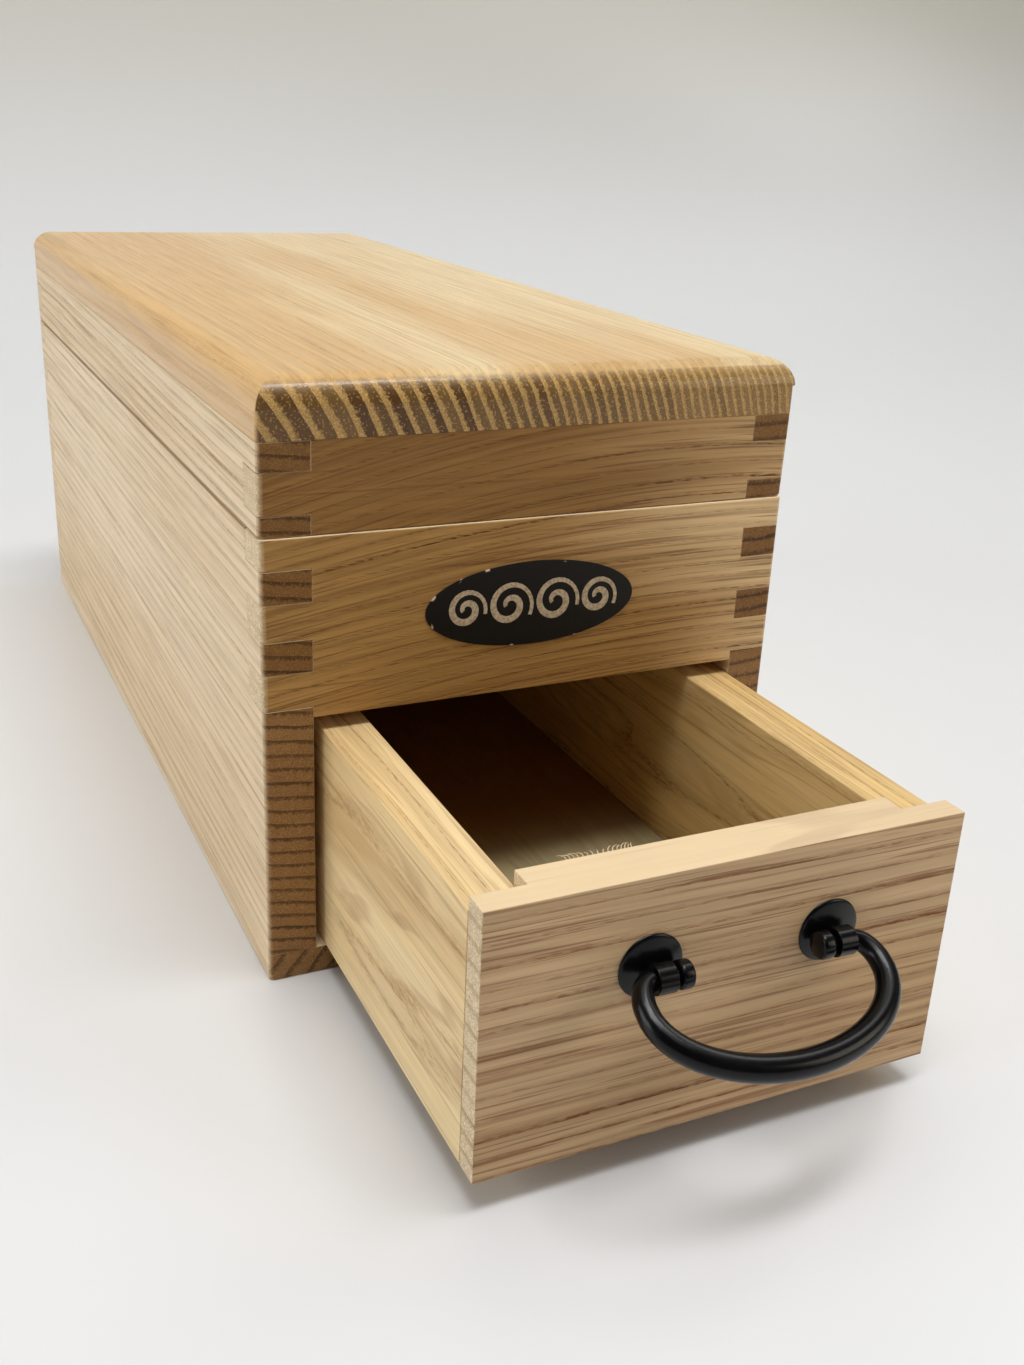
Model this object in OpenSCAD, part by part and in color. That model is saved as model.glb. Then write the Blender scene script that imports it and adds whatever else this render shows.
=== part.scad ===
// Bonito shaver box: an ash box with box joints, a lift-off lid, a plane lying
// sole up on two rails, a drawer that catches the shavings, and an iron bail.
// Units are millimetres. The origin is the centre of the footprint on the
// table, the drawer opens towards -Y, and +Z is up.
// The drawer and the bail are drawn part way open, which is their rest place.

/* [Box] */
// Width over both side boards
box_w = 120; // [110:1:135]
// Length from front face to back face
box_l = 289; // [260:1:320]
// Thickness of the left side board
side_t_left = 10.5; // [8:0.5:12]
// Thickness of the right side board
side_t_right = 9.5; // [8:0.5:12]
// Thickness of the front and back boards
end_t = 10; // [8:0.5:12]
// Thickness of the bottom board
bottom_t = 6.2; // [5:0.1:8]
// Height of the joint between case and lid
seam_z = 98.9; // [96:0.1:101]
// Gap between case and lid at that joint
seam_gap = 0.2; // [0.1:0.1:0.4]
// Top of the drawer opening, where the front board starts
opening_z = 60.8; // [60.6:0.1:62]

/* [Lid] */
// Underside of the top board
top_board_z = 117.6; // [115:0.1:122]
// Thickness of the top board
top_board_t = 11.8; // [9:0.1:14]
// Radius along the upper edges of the top board
top_round = 6; // [2:0.5:8]

/* [Drawer] */
// How far the drawer stands open at rest
drawer_open = 80; // [0:1:110]
// Depth of the drawer from front face to back
drawer_depth = 276; // [250:1:278]
// Left face of the drawer, from the middle of the box
drawer_left = -47.4; // [-49:0.1:-46]
// Right face of the drawer, from the middle of the box
drawer_right = 50; // [46:0.1:50]
// Height of the drawer's underside above the table
drawer_z = 6.4; // [6.3:0.1:7]
// Height of the drawer front's top edge above the table
front_top_z = 60.4; // [58:0.1:60.5]
// Height of the drawer sides' top edge above the table
drawer_side_top_z = 57.6; // [54:0.1:58]
// Thickness of the lip that covers the ends of the drawer sides
front_lip_t = 5.5; // [4:0.1:7]
// Full thickness of the drawer front between the sides
front_t = 10.5; // [9:0.1:13]
// Thickness of the drawer sides
drawer_side_t = 10.3; // [8:0.1:12]
// Thickness of the drawer back
drawer_back_t = 8.5; // [7:0.1:10]
// Thickness of the thin bottom panel
panel_t = 3; // [2.5:0.1:4]
// Height of the panel's underside above the drawer's underside
panel_lift = 4; // [3:0.1:6]
// Depth of the groove that holds the panel
groove_d = 4; // [3:0.1:4.5]

/* [Handle] */
// Distance between the two eye pins
pin_pitch = 37.2; // [34:0.1:42]
// Middle of the handle, from the middle of the box
handle_x = 3; // [-4:0.1:4]
// Height of the handle's pivot line above the table
handle_z = 42.4; // [38:0.1:46]
// Distance of the pivot line in front of the drawer
pivot_out = 4.2; // [4.1:0.1:6]
// Slope of the pivot line, lower on the right
handle_tilt = 1.9; // [0:0.1:4]
// Angle of the bail out from hanging straight down, at rest
bail_angle = 62.5; // [0:0.5:120]
// Half the width of the bail, to the middle of the rod
bail_half_w = 24.1; // [23.5:0.1:27]
// Depth of the widest place of the bail below the pivot line
bail_shoulder = 5.6; // [4:0.1:8]
// Depth of the bail from there to its lowest place
bail_bow = 14.4; // [12:0.1:18]
// Rod radius where the bail meets the eyes
rod_r_end = 1.85; // [1.7:0.05:2]
// Rod radius at the middle of the bail
rod_r_mid = 2.5; // [2:0.05:2.8]
// Radius of the domed rosettes
rosette_r = 6.3; // [5:0.1:7]

/* [Plane] */
// Width of the plane block
plane_w = 95; // [88:1:96]
// Length of the plane block
plane_l = 264; // [240:1:265]
// Height of the plane block
plane_h = 32; // [30:0.5:33]
// Place of the cutting edge, from the middle of the box
edge_y = -18; // [-30:1:0]
// Angle between the iron and the sole
bed_angle = 40; // [38:1:44]
// Width of the iron
iron_w = 55; // [48:1:58]
// Length of the iron
iron_l = 60; // [54:1:62]
// Thickness of the iron
iron_t = 4.5; // [3.5:0.1:5]
// Bevel angle of the iron
bevel_angle = 27; // [25:1:32]
// How far the cutting edge stands above the sole
edge_out = 0.3; // [0.1:0.1:0.5]

/* [Hidden] */
e = 1;      // overshoot of a cut past a face
run = 0.15; // clearance around the iron in its grooves

left = -box_w / 2;
right = box_w / 2;
in_left = left + side_t_left;
in_right = right - side_t_right;
mid_x = (in_left + in_right) / 2;
front = -box_l / 2;
back = box_l / 2;
in_front = front + end_t;
in_back = back - end_t;
case_top = seam_z - seam_gap / 2;
lid_bottom = seam_z + seam_gap / 2;

// Heights where fingers of the end boards show on the sides: three on the
// front, the same three and four more on the back, and one on the lid.
finger = 7.35;
finger_low = 63.1;
upper_fingers = [[finger_low, 70.8], [77.8, 85.5], [92.4, case_top]];
lower_fingers = [for (i = [1 : 2 : 7])
    [max(bottom_t, finger_low - (i + 1) * finger), finger_low - i * finger]];
front_fingers = upper_fingers;
back_fingers = concat(upper_fingers, lower_fingers);
lid_fingers = [[103.2, 111.75]];

rail_w = 12;
rail_z = 61.5;
rail_top = 70.4;
nail_r = 0.75;
nail_head_r = 1.5;
nail_head_t = 0.8;
rail_nail_l = 18;
bottom_nail_l = 24;
rail_nail_y = [-90, 90];
bottom_nail_y = [-115, 0, 115];

label_a = 24.2;
label_b = 9.2;
label_t = 0.3;
label_x = -1.4;
label_z = 80.3;

drawer_front_y = front - drawer_open;
drawer_back_y = drawer_front_y + drawer_depth;
lip_back_y = drawer_front_y + front_lip_t;
block_back_y = drawer_front_y + front_t;
drawer_in_left = drawer_left + drawer_side_t;
drawer_in_right = drawer_right - drawer_side_t;
panel_z = drawer_z + panel_lift;
brad_x = [-20, 22];
brad_r = 0.6;
brad_l = 13;

eye_w = 3.6;
eye_r = 2.7;
journal_r = 1.4;
bore_r = 1.45;
eye_gap = 0.2;
button_l = 3.3;
button_r = 2.7;
button_edge = 0.5;
journal_root = 0.8; // how far the journal runs on into the rod
shank_r = 1.4;
shank_hole_r = 1.45;
leg_l = 8;
leg_w = 2.4;
leg_t = 1;
rosette_rim = 0.4;
rosette_dome = 0.9;
dome_steps = 8;
arm_turn = bail_half_w - pin_pitch / 2 - eye_w / 2 - eye_gap;

sole_z = rail_top + 0.2 + plane_h;
iron_rest = 3;     // width of iron held by the groove on each side
iron_play = 0.2;   // gap beside each edge of the iron
throat_w = iron_w - 2 * iron_rest;
mouth_gap = 0.8;   // opening of the mouth in front of the cutting edge
mouth_depth = 3.5; // height of the mouth's upright front face
chip_y = -24;      // front of the chip opening at the top, from the cutting edge

wood_top = [0.80, 0.64, 0.42];
wood_side = [0.76, 0.66, 0.50];
wood_front = [0.66, 0.52, 0.35];
wood_drawer = [0.60, 0.48, 0.35];
oak = [0.70, 0.55, 0.36];
iron_black = [0.03, 0.03, 0.035];
steel = [0.55, 0.56, 0.58];
wood_panel = [0.85, 0.84, 0.74];
label_ink = [0.04, 0.04, 0.04];

// A box given by its low and high corners
module block(low, high) {
    translate(low) cube(high - low);
}

// Full-depth fingers at the heights in list
module fingers(x0, x1, y0, y1, list) {
    for (z = list) block([x0, y0, z[0]], [x1, y1, z[1]]);
}

// Side board of the case, notched for the fingers of the end boards
module case_side(x0, x1) {
    color(wood_side) difference() {
        block([x0, front, bottom_t], [x1, back, case_top]);
        fingers(x0 - e, x1 + e, front - e, in_front, [for (z = front_fingers) finger_cut(z)]);
        fingers(x0 - e, x1 + e, in_back, back + e, [for (z = back_fingers) finger_cut(z)]);
    }
}

// A notch at the very top or bottom runs past the board's edge
function finger_cut(z) = [z[0] <= bottom_t ? z[0] - e : z[0], z[1] >= case_top ? z[1] + e : z[1]];

module side_board_left() { case_side(left, in_left); }
module side_board_right() { case_side(in_right, right); }

module front_board() {
    color(wood_front) union() {
        block([in_left, front, opening_z], [in_right, in_front, case_top]);
        fingers(left, right, front, in_front, front_fingers);
    }
}

module back_board() {
    color(wood_front) union() {
        block([in_left, in_back, bottom_t], [in_right, back, case_top]);
        fingers(left, right, in_back, back, back_fingers);
    }
}

module bottom_board() {
    color(wood_side) block([left, front, 0], [right, back, bottom_t]);
}

module plane_rail_left() {
    color(wood_side) block([in_left, in_front, rail_z], [in_left + rail_w, in_back, rail_top]);
}

module plane_rail_right() {
    color(wood_side) block([in_right - rail_w, in_front, rail_z], [in_right, in_back, rail_top]);
}

// A nail along +Z with its head at z = 0
module nail(length, r, head_r, head_t) {
    cylinder(r = r, h = length, $fn = 24);
    cylinder(r = head_r, h = head_t, $fn = 24);
}

// Nail through a rail into a side board; way is -1 for the left side
module rail_nail(way, y) {
    x = way < 0 ? in_left + rail_w : in_right - rail_w;
    color(steel) translate([x, y, (rail_z + rail_top) / 2]) rotate([0, way * 90, 0])
        nail(rail_nail_l, nail_r, nail_head_r, nail_head_t);
}

// Nail through the bottom board into a side board
module bottom_nail(way, y) {
    x = way < 0 ? (left + in_left) / 2 : (right + in_right) / 2;
    color(steel) translate([x, y, 0]) nail(bottom_nail_l, nail_r, nail_head_r, nail_head_t);
}

module label() {
    color(label_ink) translate([label_x, front, label_z]) rotate([90, 0, 0])
        linear_extrude(label_t)
            polygon([for (a = [0 : 6 : 354]) [label_a * cos(a), label_b * sin(a)]]);
}

// What a quarter-round edge takes away, along +X, with the corner at the origin
module edge_waste(length, r) {
    difference() {
        translate([-e, -e, -r]) cube([length + 2 * e, r + e, r + e]);
        translate([-2 * e, r, -r]) rotate([0, 90, 0]) cylinder(r = r, h = length + 4 * e, $fn = 64);
    }
}

module lid_top() {
    top = top_board_z + top_board_t;
    color(wood_top) difference() {
        block([left, front, top_board_z], [right, back, top]);
        translate([left, front, top]) edge_waste(box_w, top_round);
        translate([right, back, top]) rotate([0, 0, 180]) edge_waste(box_w, top_round);
        translate([left, back, top]) rotate([0, 0, -90]) edge_waste(box_l, top_round);
        translate([right, front, top]) rotate([0, 0, 90]) edge_waste(box_l, top_round);
    }
}

module lid_end(y0, y1) {
    color(wood_front) union() {
        block([in_left, y0, lid_bottom], [in_right, y1, top_board_z]);
        fingers(left, right, y0, y1, lid_fingers);
    }
}

module lid_front() { lid_end(front, in_front); }
module lid_back() { lid_end(in_back, back); }

module lid_side(x0, x1) {
    color(wood_side) difference() {
        block([x0, front, lid_bottom], [x1, back, top_board_z]);
        fingers(x0 - e, x1 + e, front - e, in_front, lid_fingers);
        fingers(x0 - e, x1 + e, in_back, back + e, lid_fingers);
    }
}

module lid_side_left() { lid_side(left, in_left); }
module lid_side_right() { lid_side(in_right, right); }

// Along the iron from the cutting edge, and square to it towards the bed.
// Both are [y, z] in the plane's section, with the cutting edge as origin.
function along(s) = [s * cos(bed_angle), -s * sin(bed_angle)];
function to_bed(s) = [s * sin(bed_angle), s * cos(bed_angle)];

// Puts a [y, z] section of the given width at the cutting edge
module plane_section(width) {
    translate([mid_x - width / 2, edge_y, sole_z + edge_out])
        rotate([90, 0, 90]) linear_extrude(width) children();
}

module plane_iron() {
    bevel_l = iron_t / tan(bevel_angle);
    color(steel) plane_section(iron_w)
        polygon([[0, 0], along(iron_l), along(iron_l) + to_bed(iron_t), along(bevel_l) + to_bed(iron_t)]);
}

module plane_block() {
    far = 2 * plane_h;
    chip_z = -plane_h - 4 * e;
    color(oak) difference() {
        block([mid_x - plane_w / 2, -plane_l / 2, sole_z - plane_h],
              [mid_x + plane_w / 2, plane_l / 2, sole_z]);
        plane_section(iron_w + 2 * iron_play)
            polygon([along(-far) - to_bed(run), along(far) - to_bed(run),
                     along(far) + to_bed(iron_t + run), along(-far) + to_bed(iron_t + run)]);
        plane_section(throat_w)
            polygon([[-mouth_gap, e], [-mouth_gap, -mouth_depth], [chip_y, chip_z],
                     [-chip_z / tan(bed_angle), chip_z], [0, e]]);
    }
}

// Places its children at an eye pin, with the drawer front's face at y = 0
module at_pin(way) {
    translate([handle_x, drawer_front_y, handle_z]) rotate([0, handle_tilt, 0])
        translate([way * pin_pitch / 2, 0, 0]) children();
}

module drawer_front() {
    color(wood_drawer) difference() {
        union() {
            block([drawer_left, drawer_front_y, drawer_z], [drawer_right, lip_back_y, front_top_z]);
            block([drawer_in_left, drawer_front_y, drawer_z], [drawer_in_right, block_back_y, front_top_z]);
        }
        block([drawer_in_left - e, block_back_y - groove_d, panel_z],
              [drawer_in_right + e, block_back_y + e, panel_z + panel_t]);
        for (way = [-1, 1]) at_pin(way)
            translate([0, -e, 0]) rotate([-90, 0, 0]) cylinder(r = shank_hole_r, h = front_t + 2 * e, $fn = 32);
    }
}

module drawer_side(x0, x1, groove0, groove1) {
    color(wood_side) difference() {
        block([x0, lip_back_y, drawer_z], [x1, drawer_back_y, drawer_side_top_z]);
        block([groove0, block_back_y - groove_d, panel_z], [groove1, drawer_back_y + e, panel_z + panel_t]);
    }
}

module drawer_side_left() {
    drawer_side(drawer_left, drawer_in_left, drawer_in_left - groove_d, drawer_in_left + e);
}

module drawer_side_right() {
    drawer_side(drawer_in_right, drawer_right, drawer_in_right - e, drawer_in_right + groove_d);
}

module drawer_back() {
    color(wood_side) block([drawer_in_left, drawer_back_y - drawer_back_t, panel_z + panel_t],
                           [drawer_in_right, drawer_back_y, drawer_side_top_z]);
}

module drawer_panel() {
    color(wood_panel)
        block([drawer_in_left - groove_d, block_back_y - groove_d, panel_z],
              [drawer_in_right + groove_d, drawer_back_y, panel_z + panel_t]);
}

module drawer_brad(x) {
    color(steel) translate([x, drawer_back_y - drawer_back_t / 2, panel_z - nail_head_t])
        nail(brad_l, brad_r, nail_head_r, nail_head_t);
}

// Shallow dome on the drawer front, pierced for the pin
module rosette(way) {
    sphere_r = (rosette_r * rosette_r + rosette_dome * rosette_dome) / (2 * rosette_dome);
    dome = [for (i = [0 : dome_steps]) let (r = rosette_r * i / dome_steps)
        [r, rosette_rim + rosette_dome - sphere_r + sqrt(sphere_r * sphere_r - r * r)]];
    color(iron_black) at_pin(way) rotate([90, 0, 0]) difference() {
        rotate_extrude($fn = 96) polygon(concat([[0, 0]], dome, [[rosette_r, 0]]));
        translate([0, 0, -e])
            cylinder(r = shank_hole_r, h = rosette_rim + rosette_dome + 2 * e, $fn = 32);
    }
}

// Eye, shank through rosette and drawer front, and two legs bent flat behind
module eye_pin(way) {
    color(iron_black) at_pin(way) difference() {
        union() {
            translate([-eye_w / 2, -pivot_out, 0]) rotate([0, 90, 0]) cylinder(r = eye_r, h = eye_w, $fn = 48);
            translate([0, -pivot_out + eye_r / 2, 0]) rotate([-90, 0, 0])
                cylinder(r = shank_r, h = pivot_out - eye_r / 2 + front_t + leg_t / 2, $fn = 32);
            translate([-leg_w / 2, front_t, -leg_l]) cube([leg_w, leg_t, 2 * leg_l]);
        }
        translate([-eye_w, -pivot_out, 0]) rotate([0, 90, 0]) cylinder(r = bore_r, h = 2 * eye_w, $fn = 48);
    }
}

// Middle line of the bail in its own plane as [x, depth below the pivot line]:
// in from the left eye round a small bend, the long bow, and the other bend
function bend(w) = [bail_half_w - arm_turn * (1 - sin(w)), bail_shoulder * (1 - cos(w))];
function bow(v) = [bail_half_w * cos(v), bail_shoulder + bail_bow * sin(v)];
bail_line = concat(
    [for (w = [0 : 15 : 75]) [-bend(w)[0], bend(w)[1]]],
    [for (v = [180 : -5 : 0]) bow(v)],
    [for (w = [75 : -15 : 0]) bend(w)]);
bail_n = len(bail_line);
ring_n = 20;

function rod_r(depth) =
    rod_r_end + (rod_r_mid - rod_r_end) * pow(depth / (bail_shoulder + bail_bow), 0.8);

// Direction of the middle line at point i; the two ends run along the pivot line
function heading(i) =
    i == 0 ? [-1, 0] :
    i == bail_n - 1 ? [-1, 0] :
    let (d = bail_line[i + 1] - bail_line[i - 1]) d / norm(d);

// Point k of the ring round middle-line point i, for the bail hanging straight down
function ring_point(i, k) =
    let (p = bail_line[i], d = heading(i), r = rod_r(p[1]), a = 360 * k / ring_n)
    [p[0] - d[1] * r * cos(a), r * sin(a), -(p[1] + d[0] * r * cos(a))];

module bail_rod() {
    polyhedron(
        points = [for (i = [0 : bail_n - 1], k = [0 : ring_n - 1]) ring_point(i, k)],
        faces = concat(
            [[for (k = [0 : ring_n - 1]) k]],
            [for (i = [0 : bail_n - 2], k = [0 : ring_n - 1])
                [i * ring_n + k, (i + 1) * ring_n + k, i * ring_n + (k + 1) % ring_n]],
            [for (i = [0 : bail_n - 2], k = [0 : ring_n - 1])
                [i * ring_n + (k + 1) % ring_n, (i + 1) * ring_n + k, (i + 1) * ring_n + (k + 1) % ring_n]],
            [[for (k = [ring_n - 1 : -1 : 0]) (bail_n - 1) * ring_n + k]]));
}

// Journal through the eye and the button that keeps the bail in it
module bail_end(way) {
    inner = pin_pitch / 2 - eye_w / 2 - eye_gap;
    mirror([way < 0 ? 1 : 0, 0, 0]) translate([inner, 0, 0]) rotate([0, 90, 0]) {
        cylinder(r = journal_r, h = eye_w + 2 * eye_gap + journal_root, $fn = 48);
        rotate([180, 0, 0]) rotate_extrude($fn = 48)
            polygon([[0, 0], [button_r - button_edge / 2, 0], [button_r, button_edge / 2],
                     [button_r, button_l - button_edge], [button_r - button_edge, button_l], [0, button_l]]);
    }
}

module bail() {
    color(iron_black) translate([handle_x, drawer_front_y - pivot_out, handle_z])
        rotate([0, handle_tilt, 0]) rotate([-bail_angle, 0, 0]) union() {
            bail_rod();
            bail_end(-1);
            bail_end(1);
        }
}

side_board_left();
side_board_right();
front_board();
back_board();
bottom_board();
plane_rail_left();
plane_rail_right();
label();
for (i = [1 : len(rail_nail_y)]) {
    rail_nail(-1, rail_nail_y[i - 1]);
    rail_nail(1, rail_nail_y[i - 1]);
}
for (i = [1 : len(bottom_nail_y)]) {
    bottom_nail(-1, bottom_nail_y[i - 1]);
    bottom_nail(1, bottom_nail_y[i - 1]);
}
lid_top();
lid_front();
lid_back();
lid_side_left();
lid_side_right();
plane_block();
plane_iron();
drawer_front();
drawer_side_left();
drawer_side_right();
drawer_back();
drawer_panel();
drawer_brad(brad_x[0]);  // drawer_brad_1
drawer_brad(brad_x[1]);  // drawer_brad_2
rosette(-1);  // rosette_left
rosette(1);  // rosette_right
eye_pin(-1);  // eye_pin_left
eye_pin(1);  // eye_pin_right
bail();
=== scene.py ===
import math

import bmesh
import bpy
from mathutils import Matrix, Vector


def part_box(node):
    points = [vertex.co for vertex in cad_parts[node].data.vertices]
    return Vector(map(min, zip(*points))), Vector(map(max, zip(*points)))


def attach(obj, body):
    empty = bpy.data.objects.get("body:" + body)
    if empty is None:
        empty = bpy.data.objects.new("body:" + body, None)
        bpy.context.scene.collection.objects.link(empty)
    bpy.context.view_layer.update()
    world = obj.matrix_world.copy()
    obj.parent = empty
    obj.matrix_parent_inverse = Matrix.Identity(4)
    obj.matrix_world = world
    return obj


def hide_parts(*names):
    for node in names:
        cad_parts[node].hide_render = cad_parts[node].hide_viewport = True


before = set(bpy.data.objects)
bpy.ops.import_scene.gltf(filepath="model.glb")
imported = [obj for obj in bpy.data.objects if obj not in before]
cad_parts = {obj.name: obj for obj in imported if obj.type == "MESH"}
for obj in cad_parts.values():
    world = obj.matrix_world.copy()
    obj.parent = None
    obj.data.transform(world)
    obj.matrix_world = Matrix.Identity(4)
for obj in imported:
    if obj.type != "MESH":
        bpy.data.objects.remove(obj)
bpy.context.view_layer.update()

case_low, case_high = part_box("bottom_board")

MM = 0.001
TINY = 0.01 * MM                      # how close counts as the same place
CASE_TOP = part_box("front_board")[1].z
LID_FOOT, LID_HEAD = (corner.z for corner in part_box("lid_front"))
CORNER = 1.3 * MM                     # rounding of the upright outer corners
RIM_CHAMFER = 0.42 * MM
LID_LEAN = 0.48 * MM                  # how far the lid's front leans back at its foot
DARKER_ENDS = 60 * MM                 # the height above which the sides' end grain is darker
HEAD_PROUD = 0.06 * MM                # how far a nail's head stands out of the wood
FIBRES = 16

HANDLE_TILT = math.radians(1.9)
BAIL_ANGLE = math.radians(62.5)       # how far the bail is swung up from hanging
PIVOT_OUT = 4.2 * MM                  # from the drawer front to the middle of the eyes
EYE_PITCH = 37.2 * MM
EYE_WIDTH = 3.6 * MM
EYE_GAP = 0.2 * MM                    # between an eye and the bail on each side of it


# ---------------------------------------------------------------- node helpers

def plug(tree, value, socket):
    """Links a socket, or sets a plain value."""
    if isinstance(value, bpy.types.NodeSocket):
        tree.links.new(value, socket)
    else:
        socket.default_value = value


def number(tree, operation, *values, clamp=False):
    node = tree.nodes.new("ShaderNodeMath")
    node.operation = operation
    node.use_clamp = clamp
    for socket, value in zip(node.inputs, values):
        plug(tree, value, socket)
    return node.outputs[0]


def vector(tree, operation, a, b):
    node = tree.nodes.new("ShaderNodeVectorMath")
    node.operation = operation
    plug(tree, a, node.inputs[0])
    plug(tree, b, node.inputs[1])
    return node.outputs["Value" if operation == "DOT_PRODUCT" else "Vector"]


def ramp(tree, value, low, high, start=0.0, end=1.0):
    """Smooth step of value from start at low to end at high."""
    node = tree.nodes.new("ShaderNodeMapRange")
    node.interpolation_type = "SMOOTHSTEP"
    plug(tree, value, node.inputs["Value"])
    plug(tree, low, node.inputs["From Min"])
    plug(tree, high, node.inputs["From Max"])
    plug(tree, start, node.inputs["To Min"])
    plug(tree, end, node.inputs["To Max"])
    return node.outputs["Result"]


def noise(tree, place, stretch, detail=2.0, roughness=0.5):
    """Noise with its own scale along each axis; 0 to 1."""
    node = tree.nodes.new("ShaderNodeTexNoise")
    plug(tree, vector(tree, "MULTIPLY", place, stretch), node.inputs["Vector"])
    node.inputs["Scale"].default_value = 1.0
    node.inputs["Detail"].default_value = detail
    node.inputs["Roughness"].default_value = roughness
    return node.outputs[0]


def blend_colours(tree, amount, a, b, mode="MIX"):
    node = tree.nodes.new("ShaderNodeMix")
    node.data_type = "RGBA"
    node.blend_type = mode
    plug(tree, amount, node.inputs[0])
    plug(tree, a, node.inputs[6])
    plug(tree, b, node.inputs[7])
    return node.outputs[2]


def new_group(name, inputs, outputs):
    group = bpy.data.node_groups.new(name, "ShaderNodeTree")
    for label, kind, value in inputs:
        socket = group.interface.new_socket(name=label, in_out="INPUT", socket_type=kind)
        socket.default_value = value
    for label, kind in outputs:
        group.interface.new_socket(name=label, in_out="OUTPUT", socket_type=kind)
    return group, group.nodes.new("NodeGroupInput"), group.nodes.new("NodeGroupOutput")


def new_material(name):
    material = bpy.data.materials.new(name)
    material.use_nodes = True
    tree = material.node_tree
    return material, tree, tree.nodes["Principled BSDF"]


def object_place(tree, centre=(0, 0, 0), turn=(0, 0, 0)):
    """Object coordinates, seen from centre and turned into the pattern's frame."""
    coordinates = tree.nodes.new("ShaderNodeTexCoord")
    mapping = tree.nodes.new("ShaderNodeMapping")
    mapping.vector_type = "TEXTURE"
    mapping.inputs["Location"].default_value = centre
    mapping.inputs["Rotation"].default_value = turn
    tree.links.new(coordinates.outputs["Object"], mapping.inputs["Vector"])
    return mapping.outputs["Vector"], coordinates.outputs["Normal"]


def bump(tree, shader, height, distance, strength=1.0):
    node = tree.nodes.new("ShaderNodeBump")
    node.inputs["Distance"].default_value = distance
    node.inputs["Strength"].default_value = strength
    plug(tree, height, node.inputs["Height"])
    tree.links.new(node.outputs["Normal"], shader.inputs["Normal"])


def tone(red, green, blue):
    """A colour from its everyday 0 to 255 values."""
    def straight(v):
        v /= 255
        return v / 12.92 if v <= 0.04045 else ((v + 0.055) / 1.055) ** 2.4
    return (straight(red), straight(green), straight(blue), 1.0)


# ---------------------------------------------------------------- timber

COLOUR = "NodeSocketColor"
FLOAT = "NodeSocketFloat"
VECTOR = "NodeSocketVector"


def grow_rings(group, given, place, x, y, along):
    """The distance from the pith, how far each point is through its year, and a chance value for that year."""
    wide = number(group, "SUBTRACT", noise(group, place, (16, 16, 3.5), 1.5), 0.5)
    small = number(group, "SUBTRACT", noise(group, place, (110, 110, 16), 1.0), 0.5)
    wander = number(group, "MULTIPLY", given["Wander"], number(group, "MULTIPLY_ADD", small, given["Wobble"], wide))
    bowed = number(group, "MULTIPLY_ADD", number(group, "MULTIPLY", along, along), given["Bow"], x)
    radius = number(group, "SQRT", number(group, "MULTIPLY_ADD", bowed, bowed, number(group, "MULTIPLY", y, y)))
    radius = number(group, "ADD", radius, wander)
    share = number(group, "DIVIDE", radius, given["Ring Radius"])
    spacing = number(group, "MULTIPLY", given["Crowding"], given["Ring Pitch"])
    rings = number(group, "MULTIPLY", number(group, "POWER", share, given["Crowding"]),
                   number(group, "DIVIDE", given["Ring Radius"], spacing))
    pick = group.nodes.new("ShaderNodeTexWhiteNoise")
    pick.noise_dimensions = "1D"
    group.links.new(number(group, "FLOOR", rings), pick.inputs["W"])
    return radius, number(group, "FRACT", rings), pick.outputs["Value"]


def ring_bands(group, given, season, luck):
    """Masks of one year: the core of its porous line, the whole line, the dense late wood and the turn of the year."""
    width = number(group, "MULTIPLY", given["Line Width"], ramp(group, luck, 0, 1, 0.7, 1.3))
    core = number(group, "SUBTRACT", 1.0, ramp(group, season, number(group, "MULTIPLY", width, 0.12),
                                               number(group, "MULTIPLY", width, 0.42)))
    soft = number(group, "SUBTRACT", 1.0, ramp(group, season, number(group, "MULTIPLY", width, 0.2), width))
    turn_of_year = ramp(group, season, 0.95, 1.0)
    late_end = number(group, "ADD", given["Late Start"], 0.30)
    late = number(group, "SUBTRACT", ramp(group, season, given["Late Start"], late_end), turn_of_year)
    return core, number(group, "MAXIMUM", soft, turn_of_year), late, turn_of_year


def long_grain(group, given, place, x, along, luck, bands, textures):
    """The colour of a face sawn along the grain."""
    core, early, late, _ = bands
    pores, fibre, streaks, hairs = textures
    patch = noise(group, place, (28, 28, 3), 2.0)
    faint = noise(group, place, (45, 45, 14), 1.0)
    strength = number(group, "MULTIPLY", ramp(group, luck, 0, 1, 0.55, 1.15), ramp(group, faint, 0.3, 0.6, 0.55, 1.0))
    strength = number(group, "MULTIPLY", strength, given["Line Depth"])
    broken = number(group, "MULTIPLY_ADD", pores, given["Pore Depth"],
                    number(group, "SUBTRACT", 1.0, given["Pore Depth"]))
    line = number(group, "MULTIPLY_ADD", core, 0.55, number(group, "MULTIPLY", early, 0.45))
    line = number(group, "MULTIPLY", number(group, "MULTIPLY", line, strength), broken, clamp=True)
    patch = number(group, "MULTIPLY_ADD", along, given["Fade"], patch)
    patch = number(group, "MULTIPLY_ADD", number(group, "SUBTRACT", x, given["Fade Centre"]), given["Fade Side"],
                   patch)
    ground = blend_colours(group, ramp(group, patch, 0.35, 0.65), given["Pale"], given["Warm"])
    streak = number(group, "MULTIPLY", given["Streaks"], ramp(group, streaks, 0.48, 0.75), clamp=True)
    dash = number(group, "MULTIPLY", ramp(group, fibre, 0.58, 0.72), 0.42)
    hair = number(group, "MULTIPLY", given["Streaks"], ramp(group, hairs, 0.57, 0.67), clamp=True)
    for mark in (number(group, "MULTIPLY", late, 0.16), streak, dash, hair, line):
        ground = blend_colours(group, mark, ground, given["Line"])
    return ground


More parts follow.
